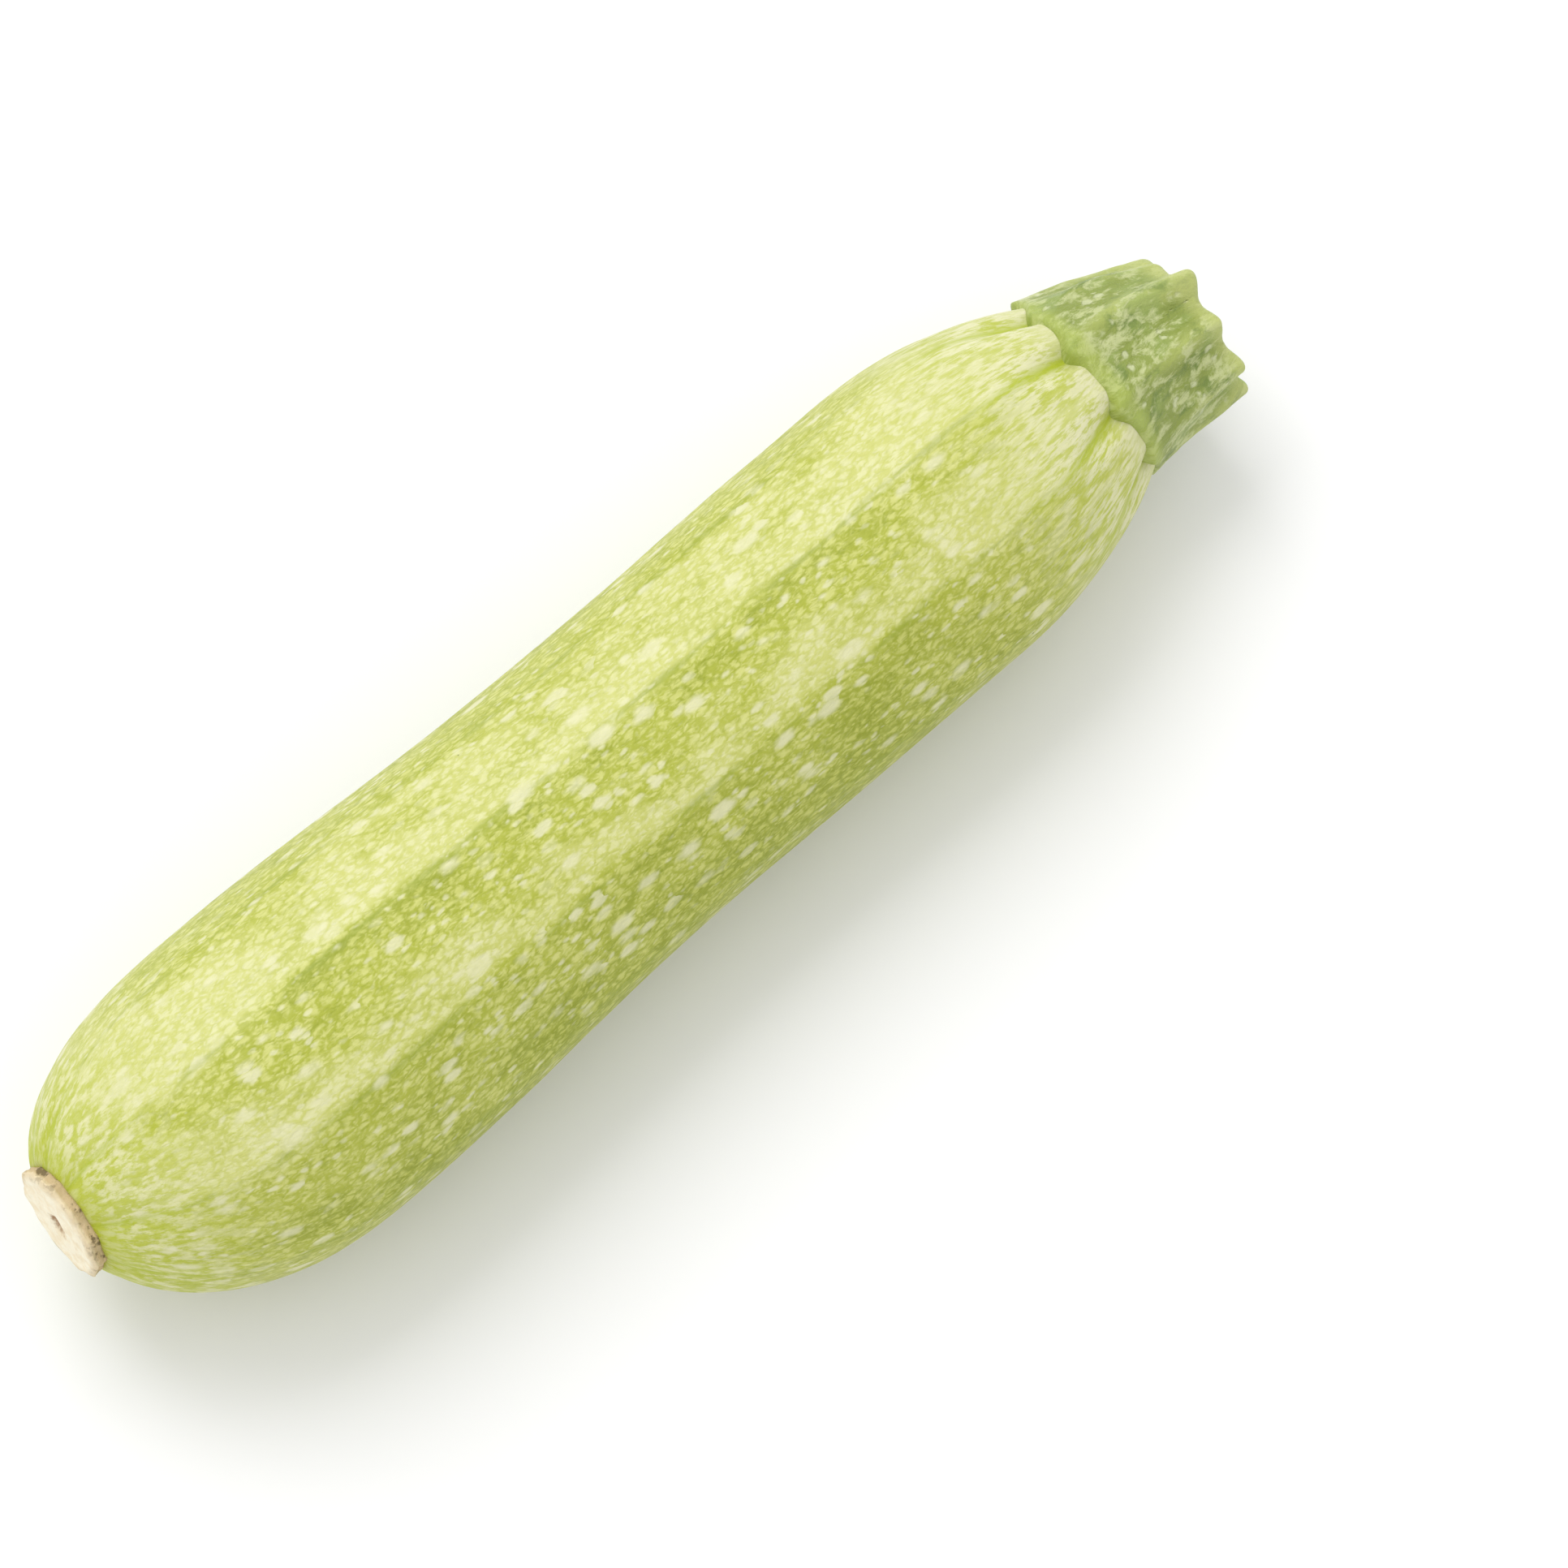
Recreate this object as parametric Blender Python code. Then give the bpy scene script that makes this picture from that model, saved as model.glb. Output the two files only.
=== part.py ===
"""A pale green courgette, as picked: the fruit, its cut stem and the dry scar that the flower left.

Metres, +Z up. It lies on its side on the floor, z = 0, with the blossom end towards -X and the stem
towards +X, and the origin is under the middle of its bounding box. Each solid is lofted through rings
about the fruit's own axis. Angles about that axis are measured from the face that lies uppermost.
"""

import math

import bmesh
import bpy
from mathutils import Vector

MM = 0.001

# Fruit, along its axis from the rim of the scar (0) to the collar where the stem sits.
BODY_LENGTH = 168.4 * MM
BLOSSOM_RADIUS = 22.6 * MM
BLOSSOM_ROUNDING = 34.0 * MM  # length of the quarter of a superellipse that closes the blossom end
BLOSSOM_POWER = 2.2  # 2 is a plain ellipse, and more than that is blunter
WAIST_AT = 92.0 * MM
WAIST_DEPTH = 0.4 * MM  # how much slimmer the waist is than the slimmer of the two bulges
SHOULDER_RADIUS = 20.8 * MM
SHOULDER_ROUNDING = 38.4 * MM  # length of the quarter ellipse that falls to the collar
COLLAR_RADIUS = 13.7 * MM

# Tip: the blossom end grows a little to one side, and its scar leans with it.
TIP_LENGTH = 44.0 * MM
TIP_SHIFT = 4.2 * MM
TIP_TOWARDS = -90.0
TIP_LEAN = 6.9  # degrees
TIP_LEAN_TOWARDS = -54.5

# Sutures: ten lines along the fruit, blunt edges on its middle and pleats at both ends.
SUTURES = 10
SUTURE_SPREAD = 9.7  # degrees by which the lobes on the upper face are wider
SUTURE_LEAN = 9.0  # degrees by which the hidden lobes are turned
EDGE_SHARE = 0.3  # 0 is a round section and 1 a polygon with flat sides
PLEAT_WIDTH = 8.0  # degrees
COLLAR_PLEAT_DEPTH = 1.1 * MM
COLLAR_PLEAT_LENGTH = 15.0 * MM
SCAR_PLEAT_DEPTH = 0.8 * MM
SCAR_PLEAT_LENGTH = 15.0 * MM

# Seat of the stem: the lobes end in scallops round a shallow dish, which leans a little.
SCALLOP = 1.4 * MM
COLLAR_LEAN = 2.0 * MM  # how far the uppermost lobes fall short of the collar's mean line
DISH = 1.0 * MM
SEAT_GAP = 0.3 * MM
SEAT_LIP = 0.7 * MM  # how far the lobes reach outside the foot of the stem

# Stem, along its own axis from the seat to the cut. Each ridge starts at a suture.
STEM_LENGTH = 16.6 * MM
STEM_SWELL = 0.3 * MM  # how far outside the collar the valleys between its ridges begin
STEM_CUT_RADIUS = 9.1 * MM  # in the valleys
STEM_BEND = 9.0  # degrees, over its whole length
STEM_BEND_TOWARDS = 90.0
STEM_TWIST = -12.0  # degrees from the foot to the cut
RIDGE_HEIGHTS = [h * MM for h in (1.7, 1.2, 2.0, 1.1, 2.2, 1.4, 1.6, 2.2, 1.3, 1.1)]
RIDGE_WIDTH = 10.0  # degrees
RIDGE_AT_FOOT = 0.5  # share of a ridge's height that is left at the foot
RIDGE_REACH = 1.8 * MM  # how far the highest ridge stands out past the cut
TOOTH_WIDTH = 18.0  # degrees, of the teeth that the ridges end in
CUT_LEAN = 0.8 * MM  # how much longer one side of the stem is
CUT_LEAN_TOWARDS = -60.0
CUT_ROUNDING = 1.1 * MM
CUT_DISH = 0.9 * MM

# Scar: a dry, corky disc that stands proud of the blossom end.
SCAR_RADIUS = 8.2 * MM
SCAR_RIM = 1.4 * MM  # height of its edge above the skin
SCAR_CROWN = 0.3 * MM  # how much higher its middle is than its edge
SCAR_LOBES = 11
SCAR_LOBE_DEPTH = 0.35 * MM
SCAR_PIT_RADIUS = 1.5 * MM
SCAR_PIT_DEPTH = 0.7 * MM

# Rest: the underside is pressed flat where it touches the floor.
REST_FLAT = 0.3 * MM
RESTING_LOBE = 8  # the lobe between this suture and the next one lies underneath

AROUND = 80
COLOURS = {
    "fruit": ((0.60, 0.64, 0.22), 0.4),
    "stem": ((0.36, 0.43, 0.13), 0.6),
    "blossom_scar": ((0.76, 0.64, 0.40), 0.85),
}


def suture_angle(index):
    even = math.radians(360 * (index - SUTURES / 2 + 0.5) / SUTURES)
    lean = SUTURE_LEAN * (1 - math.cos(even))
    return math.degrees(even) + SUTURE_SPREAD * math.sin(even) + lean


SUTURE_ANGLES = [suture_angle(i) for i in range(SUTURES)]
LOWEST_ANGLE = sum(SUTURE_ANGLES[RESTING_LOBE : RESTING_LOBE + 2]) / 2


def from_angle(angle, reference):
    """Signed difference in degrees, from -180 to 180."""
    return (angle - reference + 180) % 360 - 180


def bump(angle, reference, width):
    return math.exp(-((from_angle(angle, reference) / width) ** 2))


def pleat(angle):
    """1 on a suture and 0 on the middle of a lobe."""
    return max(bump(angle, a, PLEAT_WIDTH) for a in SUTURE_ANGLES)


def edged(angle):
    """Radius of the blunt ten-sided section, where a suture's radius is 1."""
    before = min((angle - a) % 360 for a in SUTURE_ANGLES)
    after = min((a - angle) % 360 for a in SUTURE_ANGLES)
    half = math.radians((before + after) / 2)
    off_middle = math.radians(before) - half
    return 1 - EDGE_SHARE * (1 - math.cos(half) / math.cos(off_middle))


def fade(share):
    """Smooth step from 0 to 1."""
    share = min(max(share, 0.0), 1.0)
    return share * share * (3 - 2 * share)


def blend(low, high, share):
    return low + (high - low) * fade(share)


def ellipse(offset, length, power=2.0):
    return max(1 - (offset / length) ** power, 0.0) ** (1 / power)


WAIST_RADIUS = min(BLOSSOM_RADIUS, SHOULDER_RADIUS) - WAIST_DEPTH
BLOSSOM_CREST = BLOSSOM_ROUNDING * ellipse(SCAR_RADIUS, BLOSSOM_RADIUS, BLOSSOM_POWER)
SHOULDER_CREST = BODY_LENGTH - SHOULDER_ROUNDING * ellipse(COLLAR_RADIUS, SHOULDER_RADIUS)


def body_radius(x):
    """Radius of the fruit along its sutures."""
    if x < BLOSSOM_CREST:
        return BLOSSOM_RADIUS * ellipse(BLOSSOM_CREST - x, BLOSSOM_ROUNDING, BLOSSOM_POWER)
    if x < WAIST_AT:
        return blend(BLOSSOM_RADIUS, WAIST_RADIUS, (x - BLOSSOM_CREST) / (WAIST_AT - BLOSSOM_CREST))
    if x < SHOULDER_CREST:
        return blend(WAIST_RADIUS, SHOULDER_RADIUS, (x - WAIST_AT) / (SHOULDER_CREST - WAIST_AT))
    return SHOULDER_RADIUS * ellipse(x - SHOULDER_CREST, SHOULDER_ROUNDING)


def skin_radius(x, angle):
    at_scar = SCAR_PLEAT_DEPTH * fade(1 - x / SCAR_PLEAT_LENGTH)
    at_collar = COLLAR_PLEAT_DEPTH * fade(1 - (BODY_LENGTH - x) / COLLAR_PLEAT_LENGTH)
    return body_radius(x) * edged(angle) - (at_scar + at_collar) * pleat(angle)


def collar_rise(angle):
    """How far a lobe's end reaches towards the stem, past the collar's mean line."""
    return SCALLOP * (0.5 - pleat(angle)) - COLLAR_LEAN * math.cos(math.radians(angle))


def seat_height(angle, share):
    """The seat's place along the axis, at this share of the collar's radius."""
    return BODY_LENGTH + collar_rise(angle) * share**2 - DISH * (1 - share**2)


def outward(angle):
    """The direction away from the axis at this angle."""
    turned = math.radians(angle + 270 - LOWEST_ANGLE)
    return Vector((0, math.cos(turned), math.sin(turned)))


def ring(point):
    """A ring of points about the axis, from a function that gives (x, radius) at an angle."""
    found = []
    for k in range(AROUND):
        angle = 360 * k / AROUND
        x, radius = point(angle)
        found.append(Vector((x, 0, 0)) + radius * outward(angle))
    return found


def tipped(points, x):
    """The ring of points from this place along the axis, moved and leaned as the tip is there."""
    share = min(max(1 - x / TIP_LENGTH, 0.0), 1.0) ** 3
    lean = math.tan(math.radians(TIP_LEAN)) * outward(TIP_LEAN_TOWARDS)
    for p in points:
        p.x += share * p.dot(lean)
        p += share * TIP_SHIFT * outward(TIP_TOWARDS)
    return points


def steps(count):
    """count + 1 shares from 0 to 1."""
    return [k / count for k in range(count + 1)]


def material_of(name):
    colour, roughness = COLOURS[name]
    material = bpy.data.materials.new(name)
    material.use_nodes = True
    shader = material.node_tree.nodes["Principled BSDF"]
    shader.inputs["Base Color"].default_value = (*colour, 1)
    shader.inputs["Roughness"].default_value = roughness
    shader.inputs["Metallic"].default_value = 0.0
    return material


def loft(name, rings, parent):
    """One closed solid through the rings, in order from -X to +X, with a point at each end."""
    bm = bmesh.new()
    loops = [[bm.verts.new(p) for p in points] for points in rings]
    for low, high in zip(loops, loops[1:]):
        for k in range(AROUND):
            following = (k + 1) % AROUND
            bm.faces.new((low[k], high[k], high[following], low[following]))
    for loop in (loops[0], loops[-1]):
        middle = bm.verts.new(sum((v.co for v in loop), Vector()) / AROUND)
        for k in range(AROUND):
            bm.faces.new((loop[k], loop[(k + 1) % AROUND], middle))
    bmesh.ops.recalc_face_normals(bm, faces=bm.faces)
    mesh = bpy.data.meshes.new(name)
    bm.to_mesh(mesh)
    bm.free()
    mesh.shade_smooth()
    mesh.materials.append(material_of(name))
    obj = bpy.data.objects.new(name, mesh)
    obj.parent = parent
    bpy.context.scene.collection.objects.link(obj)
    return obj


def fruit_stations():
    """Places along the axis, closer together on the two rounded ends."""
    quarter = [math.pi / 2 * s for s in steps(7)]
    start = math.asin(BLOSSOM_CREST / BLOSSOM_ROUNDING)
    blossom = [BLOSSOM_CREST - BLOSSOM_ROUNDING * math.sin(start * (1 - s)) for s in steps(8)]
    middle = [BLOSSOM_CREST + (SHOULDER_CREST - BLOSSOM_CREST) * s for s in steps(9)]
    shoulder = [SHOULDER_CREST + (BODY_LENGTH - SHOULDER_CREST) * math.sin(q) for q in quarter]
    return blossom + middle[1:] + shoulder[1:]


def make_fruit(axis):
    def side(x):
        share = fade(1 - (BODY_LENGTH - x) / COLLAR_PLEAT_LENGTH)
        return tipped(ring(lambda a: (x + share * collar_rise(a), skin_radius(x, a))), x)

    def seat(share):
        return ring(lambda a: (seat_height(a, share), share * skin_radius(BODY_LENGTH, a)))

    def blossom_face(share):
        return tipped(ring(lambda a: (0.0, share * skin_radius(0.0, a))), 0.0)

    rings = [blossom_face(s) for s in (0.35, 0.7)] + [side(x) for x in fruit_stations()]
    return loft("fruit", rings + [seat(s) for s in (0.75, 0.45, 0.15)], axis)


def foot_share(angle):
    """Share of the seat that the foot of the stem covers."""
    return 1 - SEAT_LIP / skin_radius(BODY_LENGTH, angle)


def ridge_height(share, angle, width=RIDGE_WIDTH):
    """Height of the rounded ridges, one from each suture, at this share of the stem's length."""
    grown = RIDGE_AT_FOOT + (1 - RIDGE_AT_FOOT) * fade(share)
    twist = STEM_TWIST * share
    ridges = zip(SUTURE_ANGLES, RIDGE_HEIGHTS)
    return grown * sum(height * bump(angle, suture + twist, width) for suture, height in ridges)


def stem_radius(share, angle):
    valley = COLLAR_RADIUS + STEM_SWELL
    return valley + (STEM_CUT_RADIUS - valley) * share + ridge_height(share, angle)


def cut_height(angle, share=1.0):
    """The cut's place along the axis, at this share of its radius."""
    lean = CUT_LEAN * math.cos(math.radians(angle - CUT_LEAN_TOWARDS))
    tooth = ridge_height(1.0, angle, TOOTH_WIDTH) / max(RIDGE_HEIGHTS)
    reach = RIDGE_REACH * tooth**2
    return BODY_LENGTH + STEM_LENGTH + lean * share + reach * share**2 - CUT_DISH * (1 - share**2)


def bent(points):
    """The stem's points, turned little by little towards STEM_BEND_TOWARDS."""
    sideways = outward(STEM_BEND_TOWARDS)
    for p in points:
        along = max(p.x - BODY_LENGTH, 0.0)
        p += sideways * math.tan(math.radians(STEM_BEND)) * along**1.5 / STEM_LENGTH**0.5
    return points


def make_stem(axis):
    def under(share):
        return ring(
            lambda a: (
                seat_height(a, share * foot_share(a)) + SEAT_GAP,
                share * foot_share(a) * skin_radius(BODY_LENGTH, a),
            )
        )

    def side(share):
        def point(angle):
            foot = seat_height(angle, foot_share(angle)) + SEAT_GAP
            x = foot + (cut_height(angle) - CUT_ROUNDING - foot) * share
            return x, stem_radius(share, angle)

        return ring(point)

    def rounding(share):
        turn = math.pi / 2 * share

        def point(angle):
            x = cut_height(angle) - CUT_ROUNDING * (1 - math.sin(turn))
            return x, stem_radius(1.0, angle) - CUT_ROUNDING * (1 - math.cos(turn))

        return ring(point)

    def cut_face(share):
        def point(angle):
            return cut_height(angle, share), share * (stem_radius(1.0, angle) - CUT_ROUNDING)

        return ring(point)

    rings = [under(s) for s in (0.2, 0.6, 1.0)] + [side(s) for s in steps(7)[1:]]
    rings += [rounding(s) for s in (0.5, 1.0)] + [cut_face(s) for s in (0.75, 0.45, 0.2)]
    return loft("stem", [bent(points) for points in rings], axis)


def make_scar(axis):
    def rim(angle):
        notch = abs(math.sin(math.radians(SCAR_LOBES * angle / 2)))
        return SCAR_RADIUS - SEAT_GAP - SCAR_LOBE_DEPTH * notch

    def face(share):
        pit = SCAR_PIT_DEPTH * fade(1.5 - share * SCAR_RADIUS / SCAR_PIT_RADIUS)
        height = SCAR_RIM + SCAR_CROWN * (1 - share**2) - pit
        return ring(lambda a: (-SEAT_GAP - height, share * rim(a)))

    rings = [face(s) for s in (0.1, 0.2, 0.28, 0.6, 0.92)]
    rings += [ring(lambda a, s=s: (-SEAT_GAP - s * SCAR_RIM, rim(a))) for s in (0.7, 0.0)]
    rings.append(ring(lambda a: (-SEAT_GAP, 0.5 * rim(a))))
    return loft("blossom_scar", [tipped(points, 0.0) for points in rings], axis)


def lay_down(axis):
    """Tilts the axis so that both the blossom end and the shoulder touch the floor."""
    low = edged(LOWEST_ANGLE)
    drop = (BLOSSOM_RADIUS - SHOULDER_RADIUS) * low
    pitch = math.atan(drop / (SHOULDER_CREST - BLOSSOM_CREST))
    axis.rotation_euler = (0, pitch, 0)
    axis.location.z = (
        BLOSSOM_CREST * math.sin(pitch) + BLOSSOM_RADIUS * low * math.cos(pitch) - REST_FLAT
    )


def press_flat(fruit):
    """Takes off what would be below the floor."""
    bpy.ops.mesh.primitive_cube_add(size=1)
    floor = bpy.context.object
    floor.name = "floor_cutter"
    floor.scale = (2 * BODY_LENGTH, 4 * BLOSSOM_RADIUS, BLOSSOM_RADIUS)
    floor.location.z = -BLOSSOM_RADIUS / 2
    floor.hide_render = True
    floor.display_type = "WIRE"
    cut = fruit.modifiers.new("rest", "BOOLEAN")
    cut.operation = "DIFFERENCE"
    cut.solver = "EXACT"
    cut.object = floor


def centre_over_origin(axis, solids):
    """Moves the axis so that the bounding box's middle is over the origin."""
    bpy.context.view_layer.update()
    graph = bpy.context.evaluated_depsgraph_get()
    corners = []
    for solid in solids:
        mesh = solid.evaluated_get(graph).to_mesh()
        corners += [solid.matrix_world @ v.co for v in mesh.vertices]
    for k in (0, 1):
        places = [c[k] for c in corners]
        axis.location[k] -= (min(places) + max(places)) / 2


def main():
    for obj in list(bpy.data.objects):
        bpy.data.objects.remove(obj)
    axis = bpy.data.objects.new("fruit_axis", None)
    bpy.context.scene.collection.objects.link(axis)
    fruit = make_fruit(axis)
    solids = [fruit, make_stem(axis), make_scar(axis)]
    lay_down(axis)
    press_flat(fruit)
    centre_over_origin(axis, solids)


main()
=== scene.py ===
"""The looks of a pale green courgette: skin, cut stem and flower scar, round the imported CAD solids.

Each piece is a fine surface round the fruit's own axis. Sizes are in metres and angles in degrees.
Angles about the axis start at the side that faces the camera and grow towards -Y.
"""

import math

import bpy
import numpy as np
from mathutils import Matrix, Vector, noise


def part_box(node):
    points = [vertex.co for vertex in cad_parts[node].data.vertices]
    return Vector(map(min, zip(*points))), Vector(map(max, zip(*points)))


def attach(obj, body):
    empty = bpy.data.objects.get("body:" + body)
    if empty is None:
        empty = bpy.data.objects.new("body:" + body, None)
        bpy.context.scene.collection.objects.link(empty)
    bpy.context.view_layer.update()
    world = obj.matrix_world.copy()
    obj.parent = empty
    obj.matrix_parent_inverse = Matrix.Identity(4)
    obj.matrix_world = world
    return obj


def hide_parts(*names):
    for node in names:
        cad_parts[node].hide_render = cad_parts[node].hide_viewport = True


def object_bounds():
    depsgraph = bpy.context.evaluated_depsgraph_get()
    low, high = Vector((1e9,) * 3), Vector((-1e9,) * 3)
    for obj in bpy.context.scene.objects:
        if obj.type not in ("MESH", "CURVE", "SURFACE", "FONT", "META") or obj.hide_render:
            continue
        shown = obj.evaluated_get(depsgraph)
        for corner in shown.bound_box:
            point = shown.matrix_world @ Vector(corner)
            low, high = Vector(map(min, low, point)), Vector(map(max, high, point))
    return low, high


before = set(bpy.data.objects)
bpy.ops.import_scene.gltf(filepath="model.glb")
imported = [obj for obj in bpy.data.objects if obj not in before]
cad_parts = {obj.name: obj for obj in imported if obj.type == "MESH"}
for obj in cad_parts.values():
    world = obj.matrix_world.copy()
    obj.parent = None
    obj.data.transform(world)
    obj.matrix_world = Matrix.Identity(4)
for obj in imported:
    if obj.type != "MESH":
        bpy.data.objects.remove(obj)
cad_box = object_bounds()

MM = 0.001

# The shape that the CAD solids have, repeated here so that the fine surfaces follow it.
BODY_LENGTH = 168.4 * MM
BLOSSOM_RADIUS = 22.6 * MM
BLOSSOM_ROUNDING = 34.0 * MM
BLOSSOM_POWER = 2.2
WAIST_AT = 92.0 * MM
WAIST_RADIUS = 20.4 * MM
SHOULDER_RADIUS = 20.8 * MM
SHOULDER_ROUNDING = 38.4 * MM
COLLAR_RADIUS = 13.7 * MM
TIP_LENGTH = 44.0 * MM
TIP_SHIFT = 4.2 * MM
TIP_TOWARDS = -90.0
TIP_LEAN = 6.9
TIP_LEAN_TOWARDS = -54.5
SUTURES = 10
SUTURE_SPREAD = 9.7
SUTURE_LEAN = 9.0
EDGE_SHARE = 0.3
PLEAT_WIDTH = 8.0
COLLAR_PLEAT_DEPTH = 1.1 * MM
COLLAR_PLEAT_LENGTH = 15.0 * MM
SCAR_PLEAT_DEPTH = 0.8 * MM
SCAR_PLEAT_LENGTH = 15.0 * MM
SCALLOP = 1.4 * MM
COLLAR_LEAN = 2.0 * MM
DISH = 1.0 * MM
SEAT_GAP = 0.3 * MM
STEM_LENGTH = 16.6 * MM
STEM_SWELL = 0.3 * MM
STEM_CUT_RADIUS = 9.1 * MM
STEM_BEND = 9.0
STEM_BEND_TOWARDS = 90.0
STEM_TWIST = -12.0
RIDGE_HEIGHTS = [h * MM for h in (1.7, 1.2, 2.0, 1.1, 2.2, 1.4, 1.6, 2.2, 1.3, 1.1)]
RIDGE_WIDTH = 10.0
RIDGE_AT_FOOT = 0.5
RIDGE_REACH = 1.8 * MM
TOOTH_WIDTH = 18.0
CUT_LEAN = 0.8 * MM
CUT_LEAN_TOWARDS = -60.0
CUT_ROUNDING = 1.1 * MM
CUT_DISH = 0.9 * MM
SCAR_RADIUS = 8.2 * MM
SCAR_RIM = 1.4 * MM
SCAR_CROWN = 0.3 * MM
SCAR_LOBES = 11
SCAR_LOBE_DEPTH = 0.35 * MM
SCAR_PIT_RADIUS = 1.5 * MM
SCAR_PIT_DEPTH = 0.7 * MM
RESTING_LOBE = 8

# Details that only the fine surfaces have
SECTION_BLUR = 2.4  # degrees over which the edges of the section are softened
LIP_INWARD = 0.6 * MM  # size of the rounding from the fruit's side into the stem's seat
LIP_ONWARD = 0.35 * MM
STEM_SEAT_DEPTH = 0.4 * MM  # how far the stem's foot reaches into the fruit
STEM_SEAT_INSET = 0.5 * MM
FLARE_SHARE = 0.1  # share of the stem's length over which it swells out of its seat
STEM_NOISE_RADIUS = 11  # mm, of the plain cylinder on which the stem's noise is read
SCAR_NOISE_RADIUS = 8 * MM

# Fineness of the surfaces: points round, spacing or number of rings
FRUIT_AROUND = 252
FRUIT_STEP = 0.48 * MM
STEM_AROUND = 300
STEM_SIDE_RINGS = 70
CUT_EDGE_RINGS = 6
EDGE_RINGS_ON_CUT = 2  # the last rings of the rounded edge, which already have the cut's colour
CUT_FACE_RINGS = 24
SCAR_AROUND = 192
SCAR_FACE_RINGS = 40

# How green each lobe is, just past its first suture and just before the next one
LOBE_GREENS = [
    (0.8, 0.5), (0.75, 0.45), (0.6, 0.5), (0.3, 0.05), (0.72, 0.15),
    (0.65, 0.85), (1.0, 0.8), (0.9, 0.6), (0.8, 0.5), (0.8, 0.6),
]
SUTURE_SOFTNESS = 2.5  # degrees

# Camera and light
CAMERA_AZIMUTH = 227.6
CAMERA_ELEVATION = 72.0
CAMERA_DISTANCE = 1.4
LENS = 254.6
AIM_OFFSET = Vector((11.7, -14.0, 0.0)) * MM
KEY_POWER = 7.5
WORLD_STRENGTH = 0.99
FLOOR_SIZE = 3.0


# ---------------------------------------------------------------- shape

def suture_angle(index):
    even = math.radians(360 * (index - SUTURES / 2 + 0.5) / SUTURES)
    lean = SUTURE_LEAN * (1 - math.cos(even))
    return math.degrees(even) + SUTURE_SPREAD * math.sin(even) + lean


SUTURE_ANGLES = [suture_angle(i) for i in range(SUTURES)]
LOWEST_ANGLE = sum(SUTURE_ANGLES[RESTING_LOBE : RESTING_LOBE + 2]) / 2


def fade(share):
    """Smooth step from 0 to 1."""
    share = np.clip(share, 0.0, 1.0)
    return share * share * (3 - 2 * share)


def blend(low, high, share):
    return low + (high - low) * fade(share)


def ellipse(offset, length, power=2.0):
    return np.maximum(1 - np.abs(offset / length) ** power, 0.0) ** (1 / power)


def from_angle(angle, reference):
    """How far round it is from the reference to the angle, from -180 to 180."""
    return (angle - reference + 180) % 360 - 180


def bump(angle, reference, width):
    """1 at the reference angle, falling off to both sides."""
    return np.exp(-((from_angle(angle, reference) / width) ** 2))


def near_suture(angle, width):
    """1 on a suture and 0 on the middle of a lobe."""
    return np.max([bump(angle, a, width) for a in SUTURE_ANGLES], axis=0)


def round_profile(values, blur):
    """A profile given at even angles all round, smoothed over this many degrees."""
    count = len(values)
    turns = np.fft.fftfreq(count, 1 / count)
    soft = np.exp(-0.5 * (turns * math.radians(blur)) ** 2)
    return np.real(np.fft.ifft(np.fft.fft(values) * soft))


def edged_profile():
    """Angles all round and the radius there of the blunt ten-sided section, with its edges softened."""
    angle = np.arange(0, 360, 0.25)
    before = np.min([(angle - a) % 360 for a in SUTURE_ANGLES], axis=0)
    after = np.min([(a - angle) % 360 for a in SUTURE_ANGLES], axis=0)
    half = np.radians((before + after) / 2)
    sides = 1 - EDGE_SHARE * (1 - np.cos(half) / np.cos(np.radians(before) - half))
    return angle, round_profile(sides, SECTION_BLUR)


PROFILE = edged_profile()


def edged(angle):
    """The radius of the section at this angle, as a share of the whole radius."""
    return np.interp(np.asarray(angle) % 360, *PROFILE, period=360)


BLOSSOM_CREST = BLOSSOM_ROUNDING * float(ellipse(SCAR_RADIUS, BLOSSOM_RADIUS, BLOSSOM_POWER))
SHOULDER_CREST = BODY_LENGTH - SHOULDER_ROUNDING * float(ellipse(COLLAR_RADIUS, SHOULDER_RADIUS))


def body_radius(x):
    """The fruit's radius along its axis: rounded end, bulge, waist, shoulder, rounded end."""
    to_waist = (x - BLOSSOM_CREST) / (WAIST_AT - BLOSSOM_CREST)
    to_shoulder = (x - WAIST_AT) / (SHOULDER_CREST - WAIST_AT)
    return np.select(
        [x < BLOSSOM_CREST, x < WAIST_AT, x < SHOULDER_CREST],
        [
            BLOSSOM_RADIUS * ellipse(BLOSSOM_CREST - x, BLOSSOM_ROUNDING, BLOSSOM_POWER),
            blend(BLOSSOM_RADIUS, WAIST_RADIUS, to_waist),
            blend(WAIST_RADIUS, SHOULDER_RADIUS, to_shoulder),
        ],
        SHOULDER_RADIUS * ellipse(x - SHOULDER_CREST, SHOULDER_ROUNDING),
    )


def near_scar(x):
    """1 at the scar, fading to 0 where its pleats end."""
    return fade(1 - x / SCAR_PLEAT_LENGTH)


def near_collar(x):
    """1 at the collar, fading to 0 where its pleats end."""
    return fade(1 - (BODY_LENGTH - x) / COLLAR_PLEAT_LENGTH)


def collar_rise(angle):
    """How far the scalloped, leaning collar stands beyond the body's length."""
    return SCALLOP * (0.5 - near_suture(angle, PLEAT_WIDTH)) - COLLAR_LEAN * np.cos(np.radians(angle))


def seat_height(angle, share):
    """The stem's seat along the axis, at this share of its radius: a shallow dish."""
    return BODY_LENGTH + collar_rise(angle) * share**2 - DISH * (1 - share**2)


def smooth_noise(points, scale, seed):
    """Soft noise from -1 to 1 at each point, with lumps of about this size."""
    shift = Vector((seed * 7.31, seed * 3.17, seed * 5.77))
    flat = np.asarray(points).reshape(-1, 3) / scale
    found = [noise.noise(Vector(p) + shift) for p in flat]
    return np.array(found).reshape(np.shape(points)[:-1])


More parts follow.
